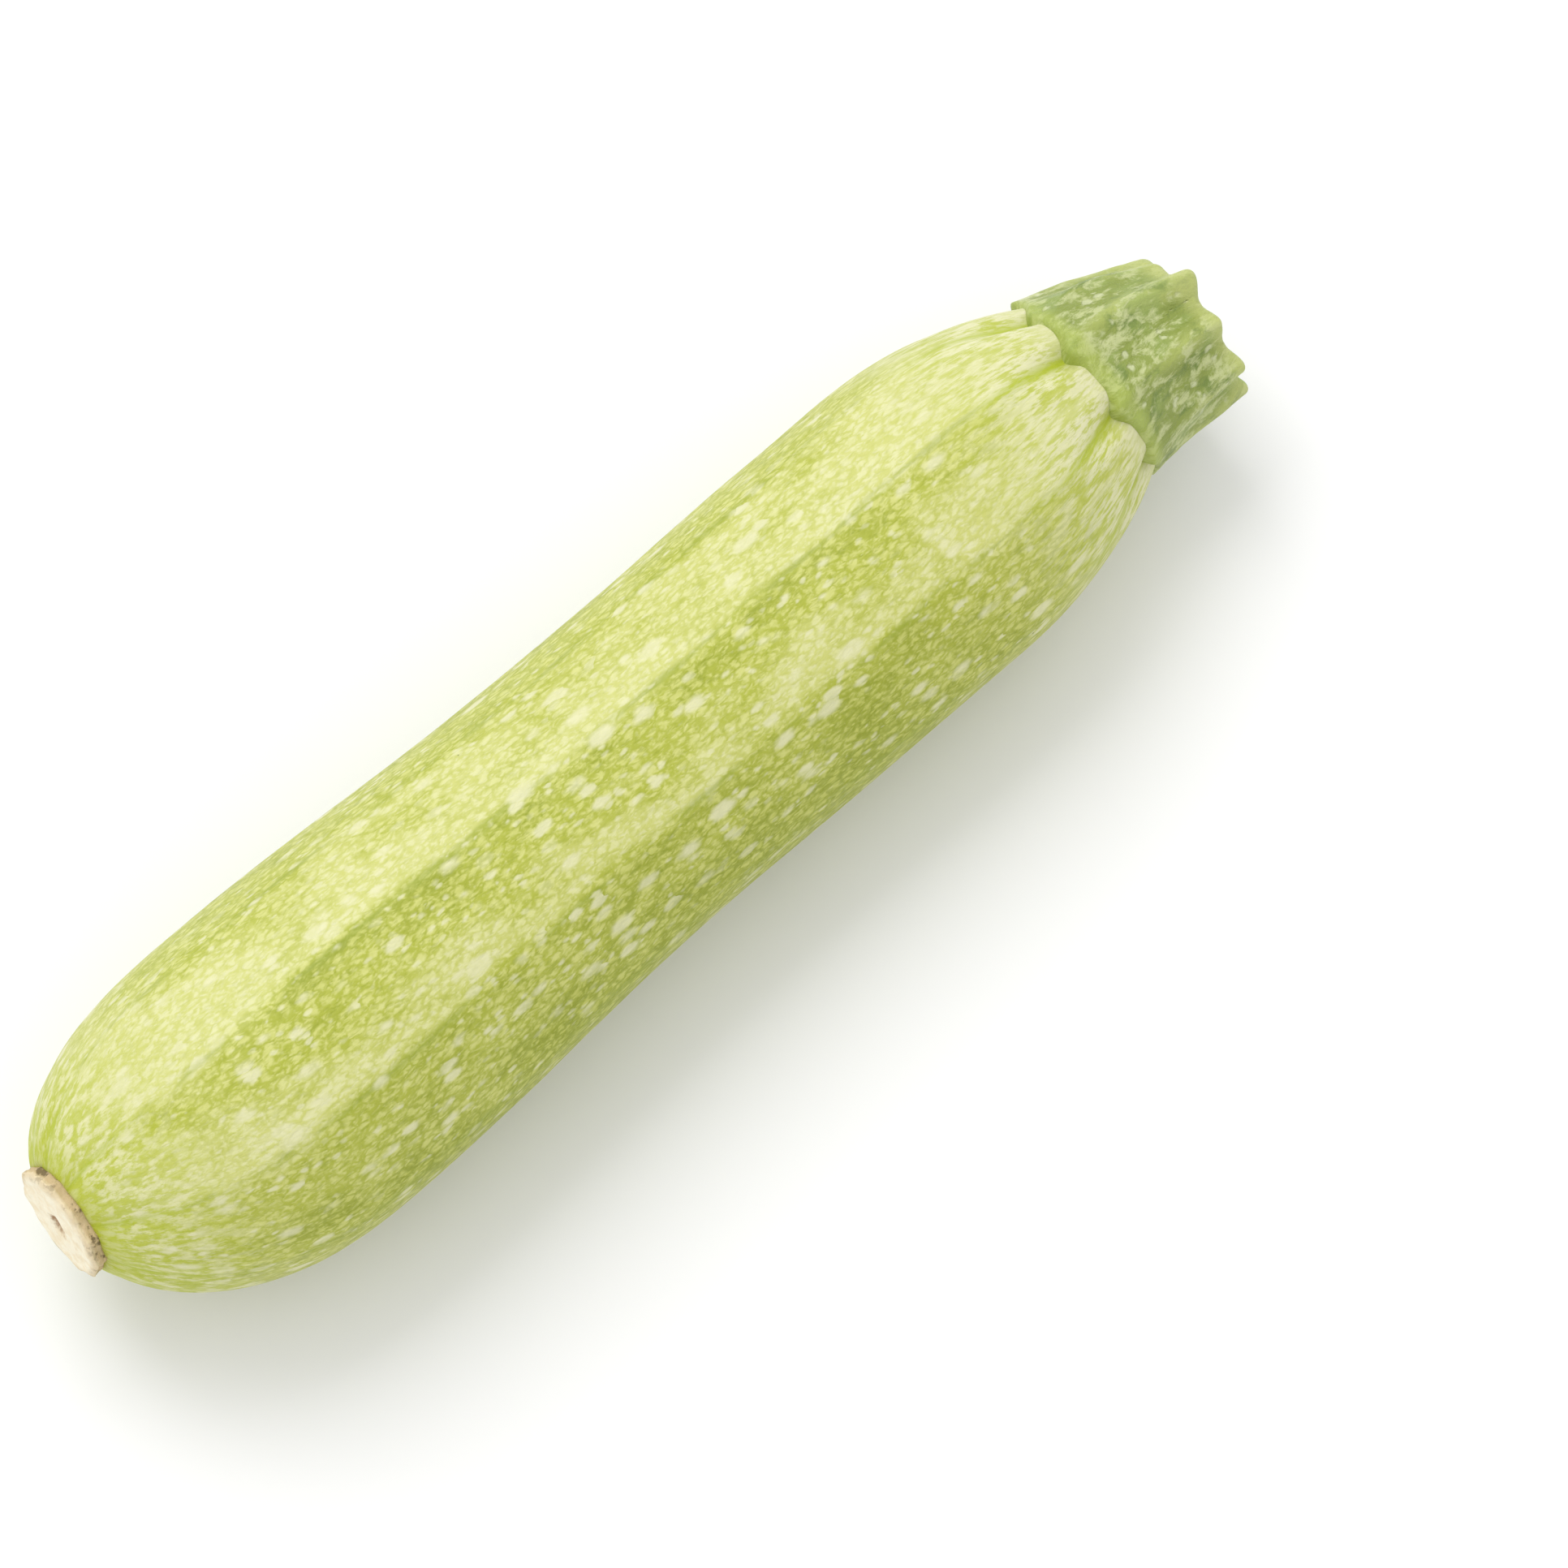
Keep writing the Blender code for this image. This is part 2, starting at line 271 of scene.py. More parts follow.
def on_cylinder(x, angle, stretch=1.0, radius=BLOSSOM_RADIUS):
    """Places on a plain cylinder, so that noise read there runs on round the fruit."""
    turned = np.radians(angle)
    places = np.broadcast_arrays(x / stretch, radius * np.cos(turned), radius * np.sin(turned))
    return np.stack(places, axis=-1)


# ---------------------------------------------------------------- placing

def pitch():
    """The tilt that lets both the blossom end and the shoulder touch the floor."""
    drop = (BLOSSOM_RADIUS - SHOULDER_RADIUS) * float(edged(LOWEST_ANGLE))
    return math.atan(drop / (SHOULDER_CREST - BLOSSOM_CREST))


def to_floor(x, side, high):
    """Turns what is given about the fruit's own axis to how the fruit lies."""
    sine, cosine = math.sin(pitch()), math.cos(pitch())
    return np.stack([x * cosine + high * sine, side, high * cosine - x * sine], axis=-1)


def outward(angle):
    """Sideways and high, for a step of 1 away from the axis at this angle."""
    turned = np.radians(angle + 270 - LOWEST_ANGLE)
    return np.cos(turned), np.sin(turned)


def axis_to_world(points):
    """Points as (x, radius, angle) about the fruit's axis, with its tip, lying but not yet moved."""
    x, radius, angle = points[..., 0], points[..., 1], points[..., 2]
    share = np.clip(1 - x / TIP_LENGTH, 0, 1) ** 3
    side, high = outward(angle)
    tip_side, tip_high = outward(TIP_TOWARDS)
    lean = math.tan(math.radians(TIP_LEAN)) * radius * np.cos(np.radians(angle - TIP_LEAN_TOWARDS))
    move = share * TIP_SHIFT
    return to_floor(x + share * lean, radius * side + move * tip_side, radius * high + move * tip_high)


def plain_skin():
    """Points of the skin without pleats or relief, as a coarse grid."""
    stations, angles = np.linspace(0, BODY_LENGTH, 300), np.arange(0, 360, 1.0)
    x, angle = np.meshgrid(stations, angles, indexing="ij")
    radius = body_radius(x) * edged(angle)
    return axis_to_world(np.stack([x, radius, angle], axis=-1))


def axis_shift():
    """What moves the axis to where the CAD fruit lies."""
    skin = plain_skin()
    low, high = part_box("fruit")
    sides = skin[..., 1]
    return Vector((
        low.x - skin[..., 0].min(),
        (low.y + high.y - sides.min() - sides.max()) / 2,
        high.z - skin[..., 2].max(),
    ))


SHIFT = axis_shift()


def placed(points):
    return axis_to_world(points) + np.array(SHIFT)


# ---------------------------------------------------------------- meshes

def closed_loft(name, rings, along):
    """A smooth closed surface through the rings, which run towards +X, with a point at each end.

    along gives each ring's share of the way, which becomes one side of the UV map.
    """
    count, around = rings.shape[:2]
    ends = np.array([rings[0].mean(axis=0), rings[-1].mean(axis=0)])
    vertices = np.concatenate([rings.reshape(-1, 3), ends])
    row, column = np.meshgrid(np.arange(count - 1), np.arange(around), indexing="ij")
    following = (column + 1) % around
    quads = np.stack(
        [
            row * around + column,
            (row + 1) * around + column,
            (row + 1) * around + following,
            row * around + following,
        ],
        axis=-1,
    ).reshape(-1, 4)
    step = np.arange(around)
    ahead = (step + 1) % around
    last = (count - 1) * around
    first_fan = np.stack([step, ahead, np.full(around, count * around)], axis=-1)
    last_fan = np.stack([last + ahead, last + step, np.full(around, count * around + 1)], axis=-1)
    faces = [*quads.tolist(), *first_fan.tolist(), *last_fan.tolist()]
    mesh = bpy.data.meshes.new(name)
    mesh.from_pydata(vertices.tolist(), [], faces)
    mesh.shade_smooth()
    add_unwrap(mesh, along, around, row, column)
    piece = bpy.data.objects.new(name, mesh)
    bpy.context.scene.collection.objects.link(piece)
    return piece


def add_unwrap(mesh, along, around, row, column):
    """One sheet: the way along the piece against the angle round it."""
    u, v = np.asarray(along)[row], column / around
    u_next, v_next = np.asarray(along)[row + 1], (column + 1) / around
    sides = np.stack([u, v, u_next, v, u_next, v_next, u, v_next], axis=-1).reshape(-1, 2)
    step = np.arange(around) / around
    half = step + 0.5 / around
    after = step + 1 / around
    zero, one = np.zeros(around), np.ones(around)
    first = np.stack([zero + along[0], step, zero + along[0], after, zero, half], axis=-1)
    last = np.stack([zero + along[-1], after, zero + along[-1], step, one, half], axis=-1)
    spots = np.concatenate([sides, first.reshape(-1, 2), last.reshape(-1, 2)])
    unwrap = mesh.uv_layers.new(name="OFBake")
    unwrap.data.foreach_set("uv", spots.astype(np.float32).ravel())


def store(piece, name, values):
    """Keeps one value or one vector for each point of the piece."""
    values = np.asarray(values, dtype=np.float32)
    kind, field = ("FLOAT_VECTOR", "vector") if values.ndim == 2 else ("FLOAT", "value")
    kept = piece.data.attributes.new(name, kind, "POINT")
    kept.data.foreach_set(field, values.ravel())


def with_ends(grid):
    """Values for every ring point, and then for the point that closes each end."""
    flat = grid.reshape(-1, *grid.shape[2:])
    return np.concatenate([flat, [grid[0].mean(axis=0), grid[-1].mean(axis=0)]])


def way_along(rings):
    """Each ring's share of the way along a profile, measured on the surface."""
    steps = np.linalg.norm(np.diff(rings, axis=0), axis=-1).mean(axis=1)
    whole = np.concatenate([[0.0], np.cumsum(steps)])
    whole += np.linalg.norm(rings[0] - rings[0].mean(axis=0), axis=-1).mean()
    closing = np.linalg.norm(rings[-1] - rings[-1].mean(axis=0), axis=-1).mean()
    return whole / (whole[-1] + closing)


# ---------------------------------------------------------------- fruit

def fruit_stations():
    """Places along the axis, evenly spaced over the skin's length."""
    samples = 6000
    fine = np.linspace(0, BODY_LENGTH, samples)
    run = np.hypot(np.diff(fine), np.diff(body_radius(fine)))
    way = np.concatenate([[0.0], np.cumsum(run)])
    count = int(way[-1] / FRUIT_STEP)
    return np.interp(np.linspace(0, way[-1], count), way, fine)


def skin_relief(x, angle):
    """Small heights on the skin, outward: soft dents, and wrinkles that run into both ends."""
    dents = 0.16 * MM * smooth_noise(on_cylinder(x, angle, 2.2), 9 * MM, 1)
    ripples = 0.05 * MM * smooth_noise(on_cylinder(x, angle, 3.0), 2.6 * MM, 2)
    wrinkles = smooth_noise(on_cylinder(x, angle, 14.0), 2.4 * MM, 3)
    at_ends = 0.22 * MM * near_collar(x) + 0.16 * MM * near_scar(x)
    return dents + ripples + at_ends * wrinkles


def skin_radius(x, angle):
    scar_pleats = SCAR_PLEAT_DEPTH * near_scar(x) * near_suture(angle, PLEAT_WIDTH)
    collar_pleats = COLLAR_PLEAT_DEPTH * near_collar(x) * near_suture(angle, 0.8 * PLEAT_WIDTH)
    return body_radius(x) * edged(angle) - scar_pleats - collar_pleats


def make_fruit():
    """The skin: the side, the face under the scar, the lip of the collar and the stem's seat."""
    stations = fruit_stations()
    angles = np.arange(FRUIT_AROUND) * 360 / FRUIT_AROUND
    x, angle = np.meshgrid(stations, angles, indexing="ij")
    radius = skin_radius(x, angle) + skin_relief(x, angle)
    side = np.stack([x + near_collar(x) * collar_rise(angle), radius, angle], axis=-1)

    lip = []
    for turn in np.radians((18, 36, 54, 72, 90)):
        inward = LIP_INWARD * (1 - math.cos(turn))
        onward = LIP_ONWARD * math.sin(turn)
        ring = side[-1].copy()
        ring[:, 0] += onward
        ring[:, 1] -= inward
        lip.append(ring)
    seat = []
    for share in (0.92, 0.8, 0.6, 0.4, 0.2, 0.08):
        ring = lip[-1].copy()
        ring[:, 0] = seat_height(angles, share)
        ring[:, 1] *= share
        seat.append(ring)
    face = []
    for share in (0.08, 0.3, 0.5, 0.7, 0.9):
        ring = side[0].copy()
        ring[:, 1] *= share
        face.append(ring)
    shape = np.stack([*face, *side, *lip, *seat])
    rings = placed(shape)
    rings[..., 2] = np.maximum(rings[..., 2], 0.0)
    piece = closed_loft("courgette_skin", rings, way_along(rings))
    store_skin_masks(piece, shape)
    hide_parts("fruit")
    return piece


def greenness(angle):
    """How green the skin is round the fruit: each lobe has its own run from suture to suture."""
    places, values = [], []
    ends = SUTURE_ANGLES[1:] + [SUTURE_ANGLES[0] + 360]
    for start, end, greens in zip(SUTURE_ANGLES, ends, LOBE_GREENS):
        middle = (start + end) / 2
        places += [start + SUTURE_SOFTNESS, middle, end - SUTURE_SOFTNESS]
        values += [greens[0], 0.4 * greens[0] + 0.6 * greens[1], greens[1]]
    return np.interp(angle, places, values, period=360)


def store_skin_masks(piece, shape):
    """What the skin's material reads: greenness, sutures, ways to both ends and a grown place."""
    x, angle = np.clip(shape[..., 0], 0, BODY_LENGTH), shape[..., 2]
    wander = smooth_noise(on_cylinder(x, angle, 4.0), 11 * MM, 5)
    ragged = smooth_noise(on_cylinder(x, angle, 2.5), 2.2 * MM, 6)
    green = greenness(angle + 4.5 * wander + 2.2 * ragged)
    paler_at_scar = 0.3 * fade(1 - x / (45 * MM))
    paler_at_collar = 0.25 * fade(1 - (BODY_LENGTH - x) / (60 * MM))
    green = green - paler_at_scar - paler_at_collar
    width = 1.4 + 2.6 * near_collar(x)
    nearest = np.min([np.abs(from_angle(angle + wander, a)) for a in SUTURE_ANGLES], axis=0)
    cell_length = 1 + 1.0 * fade(1 - (BODY_LENGTH - x) / (30 * MM))
    along = np.cumsum(np.gradient(x, axis=0) / cell_length, axis=0)
    turned = np.radians(angle)
    squeezed = 0.4 * BLOSSOM_RADIUS + 0.6 * np.broadcast_to(body_radius(x), x.shape)
    grown = np.stack([along, squeezed * np.cos(turned), squeezed * np.sin(turned)], axis=-1)
    store(piece, "grown", with_ends(grown / MM))
    store(piece, "green", with_ends(green))
    store(piece, "suture", with_ends(np.exp(-((nearest / width) ** 2))))
    store(piece, "to_scar", with_ends(x / MM))
    store(piece, "to_collar", with_ends((BODY_LENGTH - x) / MM))


# ---------------------------------------------------------------- stem

def bent(points):
    """Turns the stem's placed points little by little towards STEM_BEND_TOWARDS."""
    sideways = to_floor(0.0, *outward(STEM_BEND_TOWARDS))
    forward = to_floor(1.0, 0.0, 0.0)
    foot = placed(np.array([BODY_LENGTH, 0.0, 0.0]))
    along = np.maximum((points - foot) @ forward, 0.0)
    move = math.tan(math.radians(STEM_BEND)) * along**1.5 / STEM_LENGTH**0.5
    return points + move[..., None] * sideways


def ridge_height(share, angle, width=RIDGE_WIDTH):
    """Height of the ridges, one from each suture, at this share of the stem's length."""
    grown = RIDGE_AT_FOOT + (1 - RIDGE_AT_FOOT) * fade(share)
    twist = STEM_TWIST * share
    ridges = zip(SUTURE_ANGLES, RIDGE_HEIGHTS)
    return grown * sum(height * bump(angle, suture + twist, width) for suture, height in ridges)


def stem_radius(share, angle):
    valley = COLLAR_RADIUS + STEM_SWELL
    return valley + (STEM_CUT_RADIUS - valley) * share + ridge_height(share, angle)


def cut_height(angle, share=1.0):
    """The cut's place along the axis, at this share of its radius."""
    lean = CUT_LEAN * np.cos(np.radians(angle - CUT_LEAN_TOWARDS))
    tooth = ridge_height(1.0, angle, TOOTH_WIDTH) / max(RIDGE_HEIGHTS)
    reach = RIDGE_REACH * tooth**2
    return BODY_LENGTH + STEM_LENGTH + lean * share + reach * share**2 - CUT_DISH * (1 - share**2)


def stem_relief(share, angle):
    """Knobs, cords and fine wrinkles on the stem's sides, outward."""
    twisted = angle - STEM_TWIST * share
    along = share * STEM_LENGTH

    def lumps(height, stretch, size, seed):
        place = on_cylinder(along, twisted, stretch, STEM_NOISE_RADIUS * MM)
        return height * MM * smooth_noise(place, size * MM, seed)

    relief = lumps(0.34, 1.6, 3.4, 11) + lumps(0.2, 6.0, 1.5, 12) + lumps(0.1, 2.5, 0.7, 13)
    return relief * fade(share * 6)


def make_stem():
    """The stem: its seat, its ridged side, the rounded edge of the cut and the cut's face."""
    angles = np.arange(STEM_AROUND) * 360 / STEM_AROUND
    foot = seat_height(angles, 1.0) - STEM_SEAT_DEPTH
    seat = skin_radius(BODY_LENGTH, angles) - STEM_SEAT_INSET
    rings = [np.stack([foot, share * seat, angles], axis=-1) for share in (0.1, 0.5, 0.85)]
    for share in np.linspace(0, 1, STEM_SIDE_RINGS):
        x = foot + (cut_height(angles) - CUT_ROUNDING - foot) * share
        radius = blend(seat, stem_radius(share, angles), share / FLARE_SHARE)
        radius = radius + stem_relief(np.full_like(angles, share), angles)
        rings.append(np.stack([x, radius, angles], axis=-1))
    rim = rings[-1]
    for turn in np.radians(np.linspace(15, 90, CUT_EDGE_RINGS)):
        x = cut_height(angles) - CUT_ROUNDING * (1 - math.sin(turn))
        rings.append(np.stack([x, rim[:, 1] - CUT_ROUNDING * (1 - math.cos(turn)), angles], axis=-1))
    edge = rings[-1]
    for share in np.linspace(0.96, 0.04, CUT_FACE_RINGS):
        rings.append(np.stack([cut_height(angles, share), share * edge[:, 1], angles], axis=-1))
    shape = np.stack(rings)
    solid = bent(placed(shape))
    piece = closed_loft("courgette_stem", solid, way_along(solid))
    share = np.clip((shape[..., 0] - BODY_LENGTH) / STEM_LENGTH, 0, 1.1)
    twisted = np.radians(shape[..., 2] - STEM_TWIST * share)
    on_cut = np.zeros(shape.shape[:2])
    on_cut[-(EDGE_RINGS_ON_CUT + CUT_FACE_RINGS) :] = 1.0
    beyond = (shape[..., 0] - BODY_LENGTH) / MM
    sides = STEM_NOISE_RADIUS * np.cos(twisted), STEM_NOISE_RADIUS * np.sin(twisted)
    grown = np.stack([beyond, *sides], axis=-1)
    valley = COLLAR_RADIUS + STEM_SWELL
    height = (shape[..., 1] - valley - (STEM_CUT_RADIUS - valley) * share) / MM
    store(piece, "grown", with_ends(grown))
    store(piece, "ridge", with_ends(height))
    store(piece, "way", with_ends(share))
    store(piece, "on_cut", with_ends(on_cut))
    store(piece, "from_axis", with_ends(shape[..., 1] / MM))
    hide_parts("stem")
    return piece


# ---------------------------------------------------------------- scar

def make_scar():
    """The flower scar: its face with the pit, the rounded edge, the crumbly side and the back."""
    angles = np.arange(SCAR_AROUND) * 360 / SCAR_AROUND
    notch = np.abs(np.sin(np.radians(SCAR_LOBES * angles / 2)))

    def lumps(height, depth, radius, size, seed):
        place = on_cylinder(np.full_like(angles, depth), angles, 1.0, radius)
        return height * MM * smooth_noise(place, size * MM, seed)

    rough = lumps(0.3, 0.0, SCAR_NOISE_RADIUS, 1.8, 21)
    rim = SCAR_RADIUS - SEAT_GAP - SCAR_LOBE_DEPTH * notch + rough
    rings = []
    for share in np.linspace(0.03, 0.93, SCAR_FACE_RINGS):
        pit = SCAR_PIT_DEPTH * fade(1.5 - share * SCAR_RADIUS / SCAR_PIT_RADIUS)
        raised = 0.22 * MM * math.exp(-(((share - 0.88) / 0.09) ** 2))
        wrinkle = lumps(0.13, 4 * MM * share, SCAR_NOISE_RADIUS * share, 1.5, 22)
        height = SCAR_RIM + SCAR_CROWN * (1 - share**2) - pit + raised + wrinkle
        rings.append(np.stack([-SEAT_GAP - height, share * rim, angles], axis=-1))
    edge_height = SCAR_RIM + 0.1 * MM
    for turn in np.radians(np.linspace(20, 90, 5)):
        x = np.full_like(angles, -SEAT_GAP - edge_height + 0.35 * MM * (1 - math.cos(turn)))
        rings.append(np.stack([x, rim * (0.95 + 0.05 * math.sin(turn)), angles], axis=-1))
    for depth in (0.75, 0.6, 0.45, 0.3, 0.15, 0.0, -0.4):
        crumble = lumps(0.22, 3 * MM * depth, SCAR_NOISE_RADIUS, 1.0, 23)
        x = np.full_like(angles, -SEAT_GAP - depth * SCAR_RIM)
        rings.append(np.stack([x, rim - 0.2 * MM * (1 - depth) + crumble, angles], axis=-1))
    rings.append(np.stack([np.full_like(angles, 0.3 * MM), 0.4 * rim, angles], axis=-1))
    shape = np.stack(rings)
    solid = placed(shape)
    piece = closed_loft("courgette_flower_scar", solid, way_along(solid))
    turned = np.radians(shape[..., 2])
    proud, from_axis = -shape[..., 0] / MM, shape[..., 1] / MM
    grown = np.stack([proud, from_axis * np.cos(turned), from_axis * np.sin(turned)], axis=-1)
    store(piece, "grown", with_ends(grown))
    store(piece, "from_axis", with_ends(from_axis))
    store(piece, "proud", with_ends(proud))
    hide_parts("blossom_scar")
    return piece


# ---------------------------------------------------------------- materials

SHARE_OF_LIGHT = 0.745  # what a surface sends back, for a colour that the light makes look like this


def lit(red, green, blue):
    """A colour given as 0 to 255 on a screen, as the light that it stands for."""
    return (*[SHARE_OF_LIGHT * ((c / 255 + 0.055) / 1.055) ** 2.4 for c in (red, green, blue)], 1.0)


class Graph:
    """Builds one material. Its methods return an output that can go into another node."""

    def __init__(self, name):
        self.material = bpy.data.materials.new(name)
        self.material.use_nodes = True
        self.nodes = self.material.node_tree.nodes
        self.links = self.material.node_tree.links
        self.shader = self.nodes["Principled BSDF"]

    def put(self, socket, value):
        if isinstance(value, bpy.types.NodeSocket):
            self.links.new(value, socket)
        else:
            socket.default_value = value

    def node(self, kind, inputs, **settings):
        made = self.nodes.new(kind)
        for key, value in settings.items():
            setattr(made, key, value)
        for key, value in inputs.items():
            self.put(made.inputs[key], value)
        return made

    def attribute(self, name):
        return self.node("ShaderNodeAttribute", {}, attribute_name=name)

    def number(self, name):
        return self.attribute(name).outputs["Fac"]

    def math(self, operation, first, second=0.0):
        return self.node("ShaderNodeMath", {0: first, 1: second}, operation=operation).outputs[0]

    def step(self, value, low, high, to_low=0.0, to_high=1.0):
        """A smooth step between two values. The first may be the larger, to run downward."""
        inputs = {"Value": value, "From Min": low, "From Max": high, "To Min": to_low, "To Max": to_high}
        return self.node("ShaderNodeMapRange", inputs, interpolation_type="SMOOTHSTEP").outputs[0]

    def mix(self, share, first, second):
        made = self.node("ShaderNodeMix", {}, data_type="RGBA")
        self.put(made.inputs[0], share)
        self.put(made.inputs[6], first)
        self.put(made.inputs[7], second)
        return made.outputs[2]

    def ramp(self, share, low, middle, high):
        """Three colours, for 0, a half and 1."""
        first = self.mix(self.step(share, 0.0, 0.5), low, middle)
        return self.mix(self.step(share, 0.5, 1.0), first, high)

    def scaled(self, place, factors):
        return self.node("ShaderNodeVectorMath", {0: place, 1: factors}, operation="MULTIPLY").outputs[0]

    def moved(self, place, by):
        return self.node("ShaderNodeVectorMath", {0: place, 1: by}, operation="ADD").outputs[0]

    def noise(self, place, scale, detail=2.0, roughness=0.5):
        inputs = {"Vector": place, "Scale": scale, "Detail": detail, "Roughness": roughness}
        return self.node("ShaderNodeTexNoise", inputs).outputs["Fac"]

    def wander(self, place, scale, amount):
        """The place, moved a little this way and that."""
        inputs = {"Vector": place, "Scale": scale, "Detail": 1.0}
        found = self.node("ShaderNodeTexNoise", inputs).outputs["Color"]
        centred = self.moved(found, (-0.5, -0.5, -0.5))
        return self.moved(place, self.scaled(centred, (amount, amount, amount)))

    def cells(self, place, scale, feature="F1"):
        inputs = {"Vector": place, "Scale": scale, "Randomness": 1.0}
        return self.node("ShaderNodeTexVoronoi", inputs, feature=feature)

    def spots(self, place, scale, share, largest, soft=0.1):
        """Scattered blobs: in this share of the cells, of random size up to the largest."""
        found = self.cells(place, scale)
        chance = self.node("ShaderNodeSeparateColor", {0: found.outputs["Color"]}).outputs[0]
        size = self.step(chance, 1.0 - share, 1.0, 0.0, largest)
        inside = self.math("SUBTRACT", size, found.outputs["Distance"])
        return self.step(inside, 0.0, soft)

    def relief(self, height, distance, normal=None):
        inputs = {"Height": height, "Distance": distance, "Strength": 1.0}
        if normal is not None:
            inputs["Normal"] = normal
        return self.node("ShaderNodeBump", inputs).outputs[0]


def skin_material():
    g = Graph("courgette skin")
    grown = g.attribute("grown").outputs["Vector"]
    suture = g.number("suture")
    to_scar = g.number("to_scar")
    to_collar = g.number("to_collar")
    wavy = g.wander(g.scaled(grown, (0.55, 1.0, 1.0)), 1.3, 0.7)

    # How green the ground is, broken up by patches.
    patches = g.noise(g.scaled(grown, (0.45, 1.0, 1.0)), 0.2, 4.0, 0.6)
    green = g.math("ADD", g.number("green"), g.step(patches, 0.3, 0.7, -0.2, 0.2))

    # A net of small cells, pale inside and greener along their edges, over an uneven mottle.
    large = g.cells(wavy, 0.95, "DISTANCE_TO_EDGE").outputs["Distance"]
    small = g.cells(wavy, 2.1, "DISTANCE_TO_EDGE").outputs["Distance"]
    inside = g.step(g.math("ADD", large, g.math("MULTIPLY", small, 0.5)), 0.02, 0.42)
    mottle = g.noise(g.moved(wavy, (5.0, 2.0, 8.0)), 0.85, 4.0, 0.65)
    uneven = g.math("ADD", g.math("MULTIPLY", inside, 0.42), g.math("MULTIPLY", mottle, 1.2))
    net = g.step(uneven, 0.5, 1.14)
    ground = g.ramp(green, lit(218, 221, 126), lit(188, 196, 70), lit(158, 169, 38))
    cell = g.ramp(green, lit(238, 238, 176), lit(226, 228, 136), lit(206, 211, 100))
    colour = g.mix(net, ground, cell)

    # Thin darker dashes along the fruit, where it is green.
    fibres = g.noise(g.scaled(grown, (0.25, 1.0, 1.0)), 2.3, 3.0, 0.6)
    dashes = g.math("MULTIPLY", g.step(fibres, 0.52, 0.66), g.step(green, 0.1, 1.0, 0.15, 0.7))
    colour = g.mix(dashes, colour, lit(156, 168, 40))

    # The sutures: a fine broken darker line.
    broken = g.step(g.noise(g.scaled(grown, (0.15, 1.0, 1.0)), 0.7, 2.0), 0.42, 0.62, 0.0, 0.7)
    colour = g.mix(g.math("MULTIPLY", suture, broken), colour, lit(160, 174, 52))

    # Cream spots, most of them where it is half green.
    scattered = g.wander(g.scaled(grown, (0.5, 1.0, 1.0)), 1.2, 0.65)
    big = g.spots(scattered, 0.32, 0.62, 0.46, 0.24)
    mid = g.spots(g.moved(scattered, (3.1, 7.7, 1.9)), 0.5, 0.85, 0.5, 0.24)
    fine = g.spots(g.moved(scattered, (9.4, 2.2, 5.3)), 0.95, 0.85, 0.48, 0.28)
    crowds = g.noise(g.scaled(g.moved(grown, (1.0, 9.0, 6.0)), (0.4, 1.0, 1.0)), 0.3)
    clustered = g.step(crowds, 0.36, 0.56, 0.35, 1.0)
    small = g.math("MULTIPLY", g.math("MAXIMUM", mid, g.math("MULTIPLY", fine, 0.85)), clustered)
    spotted = g.math("MAXIMUM", big, small)
    away = g.step(to_collar, 4.0, 30.0, 0.35, 0.8)
    rarer = g.math("MULTIPLY", g.step(green, 0.0, 0.4, 0.75, 1.0), g.step(green, 0.6, 1.1, 1.0, 0.6))
    spots = g.math("MULTIPLY", spotted, g.math("MULTIPLY", away, rarer))

    # Both ends: streaks of cream and yellow-green, which run into the scar and into the collar.
    thin = g.noise(g.scaled(grown, (0.16, 1.0, 1.0)), 1.7, 4.0, 0.65)
    blotches = g.noise(g.scaled(grown, (0.5, 1.0, 1.0)), 0.7, 4.0, 0.65)
    whiter = g.math("ADD", thin, g.math("MULTIPLY", blotches, 0.8))
    streaked = g.mix(g.step(whiter, 0.8, 1.0), lit(202, 211, 90), lit(245, 243, 200))
    at_collar = g.math("MULTIPLY", g.step(to_collar, 30.0, 6.0), g.step(patches, 0.3, 0.6, 0.45, 0.85))
    colour = g.mix(at_collar, colour, streaked)
    colour = g.mix(g.step(to_collar, 5.0, 0.5, 0.0, 0.55), colour, lit(244, 242, 200))
    short = g.noise(g.scaled(g.moved(grown, (2.0, 6.0, 4.0)), (0.35, 1.0, 1.0)), 0.85, 4.0, 0.65)
    tender = g.mix(g.step(short, 0.44, 0.6), lit(198, 208, 60), lit(243, 242, 186))
    colour = g.mix(g.step(to_scar, 20.0, 2.0, 0.0, 0.75), colour, tender)
    colour = g.mix(spots, colour, lit(244, 242, 198))
    colour = g.mix(g.step(to_scar, 3.5, 0.0, 0.0, 0.6), colour, lit(198, 208, 48))
    pleated_collar = g.step(to_collar, 24.0, 3.0, 0.0, 0.95)
    pleated_scar = g.step(to_scar, 12.0, 1.0, 0.0, 0.8)
    pleated = g.math("MAXIMUM", pleated_collar, pleated_scar)
    colour = g.mix(g.math("MULTIPLY", suture, pleated), colour, lit(190, 204, 44))

    # A few tiny dark specks.
    specks = g.spots(g.moved(grown, (1.7, 3.3, 8.8)), 0.28, 0.06, 0.07, 0.03)
    colour = g.mix(g.math("MULTIPLY", specks, 0.8), colour, lit(96, 110, 48))

